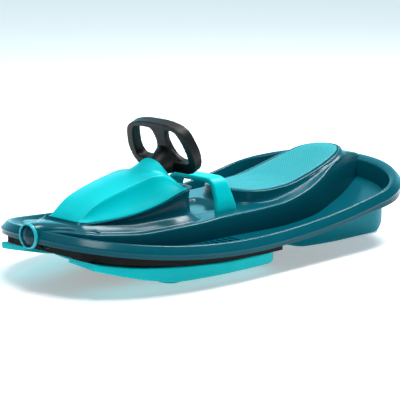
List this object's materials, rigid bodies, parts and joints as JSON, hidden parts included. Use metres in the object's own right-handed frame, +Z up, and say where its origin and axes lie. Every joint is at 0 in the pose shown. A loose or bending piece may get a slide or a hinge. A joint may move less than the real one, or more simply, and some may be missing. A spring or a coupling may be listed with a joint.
{
  "type": "steering sled",
  "caption": "Plastic winter sled with wheel-steered front skis, rear runner, pull-handle claw brake, seat pad, leg wells and a nose tow knob.",
  "frame": {"origin": "centre of the bounding box at ground level", "axes": "+X forward to the nose, +Y to the sled's left, +Z up"},
  "size_m": [1.17, 0.5832, 0.3652],
  "materials": {
    "shell_teal": "glossy moulded",
    "trim_turquoise": "satin moulded",
    "seat_foam": "fine pyramid grain",
    "grip_black": "fine grain",
    "frame_black": "plain moulded",
    "knob_blue": "satin moulded",
    "bush_nylon": "plain moulded",
    "steel": "zinc plated"
  },
  "bodies": {
    "hull": {"hull_shell": "shell_teal", "console_hood": "trim_turquoise", "hood_screws": "steel", "seat_pad": "seat_foam", "upper_column_bush": "bush_nylon", "lower_column_bush": "bush_nylon", "upper_column_bracket": "frame_black", "lower_column_bracket": "frame_black", "column_bracket_screws": "steel", "tie_plate_guides": "frame_black", "guide_screws": "steel", "kingpin_bushes": "bush_nylon", "front_subframe": "frame_black", "subframe_screws": "steel", "axle_blocks": "frame_black", "axle_block_screws": "steel", "brake_spring": "steel", "rear_runner": "trim_turquoise", "runner_screws": "steel", "nose_bezel": "trim_turquoise", "reel_housing": "frame_black", "reel_pins": "steel", "reel_axle": "steel", "reel_spring": "steel"},
    "steering": {"steering_wheel": "grip_black", "hub_cap": "grip_black", "wheel_screw": "steel", "steering_shaft": "steel", "crank_arm": "steel"},
    "tie": {"tie_plate": "frame_black"},
    "left_ski": {"left_ski": "trim_turquoise", "left_kingpin": "steel", "left_steering_pin": "steel", "left_ski_washers": "steel", "left_kingpin_nut": "steel"},
    "right_ski": {"right_ski": "trim_turquoise", "right_kingpin": "steel", "right_steering_pin": "steel", "right_ski_washers": "steel", "right_kingpin_nut": "steel"},
    "brake": {"brake_handle": "trim_turquoise", "brake_axle": "steel", "brake_claws": "steel"},
    "knob": {"tow_knob": "knob_blue"},
    "drum": {"cord_drum": "frame_black"}
  },
  "joints": [
    {"name": "wheel_turn", "type": "hinge", "parent": "hull", "child": "steering", "pos_m": [0.1265, 0, 0.2605], "axis": [-0.9272, 0, 0.3746], "range_deg": [-30, 30]},
    {"name": "tie_slide", "type": "slide", "parent": "hull", "child": "tie", "axis": [0, 1, 0], "range_m": [-0.0293, 0.0293]},
    {"name": "left_ski_swing", "type": "hinge", "parent": "hull", "child": "left_ski", "pos_m": [0.268, 0.165, 0.05], "axis": [0, 0, 1], "range_deg": [-15.1, 15.1]},
    {"name": "right_ski_swing", "type": "hinge", "parent": "hull", "child": "right_ski", "pos_m": [0.268, -0.165, 0.05], "axis": [0, 0, 1], "range_deg": [-15.1, 15.1]},
    {"name": "brake_pull", "type": "hinge", "parent": "hull", "child": "brake", "pos_m": [0.022, 0, 0.104], "axis": [0, -1, 0], "range_deg": [0, 32], "stiffness_Nm_per_rad": 1.5, "springref_deg": -22.92},
    {"name": "knob_pull", "type": "slide", "parent": "hull", "child": "knob", "axis": [1, 0, 0], "range_m": [0, 0.06], "stiffness_N_per_m": 20, "springref_m": -0.05},
    {"name": "drum_spin", "type": "hinge", "parent": "hull", "child": "drum", "pos_m": [0.508, 0, 0.137], "axis": [0, 1, 0], "range_deg": [0, 270]}
  ],
  "couplings": [
    {"joint": "tie_slide", "follows": "wheel_turn", "m_per_rad": -0.0556},
    {"joint": "left_ski_swing", "follows": "wheel_turn", "ratio": 0.5},
    {"joint": "right_ski_swing", "follows": "wheel_turn", "ratio": 0.5},
    {"joint": "drum_spin", "follows": "knob_pull", "rad_per_m": 76.923}
  ]
}
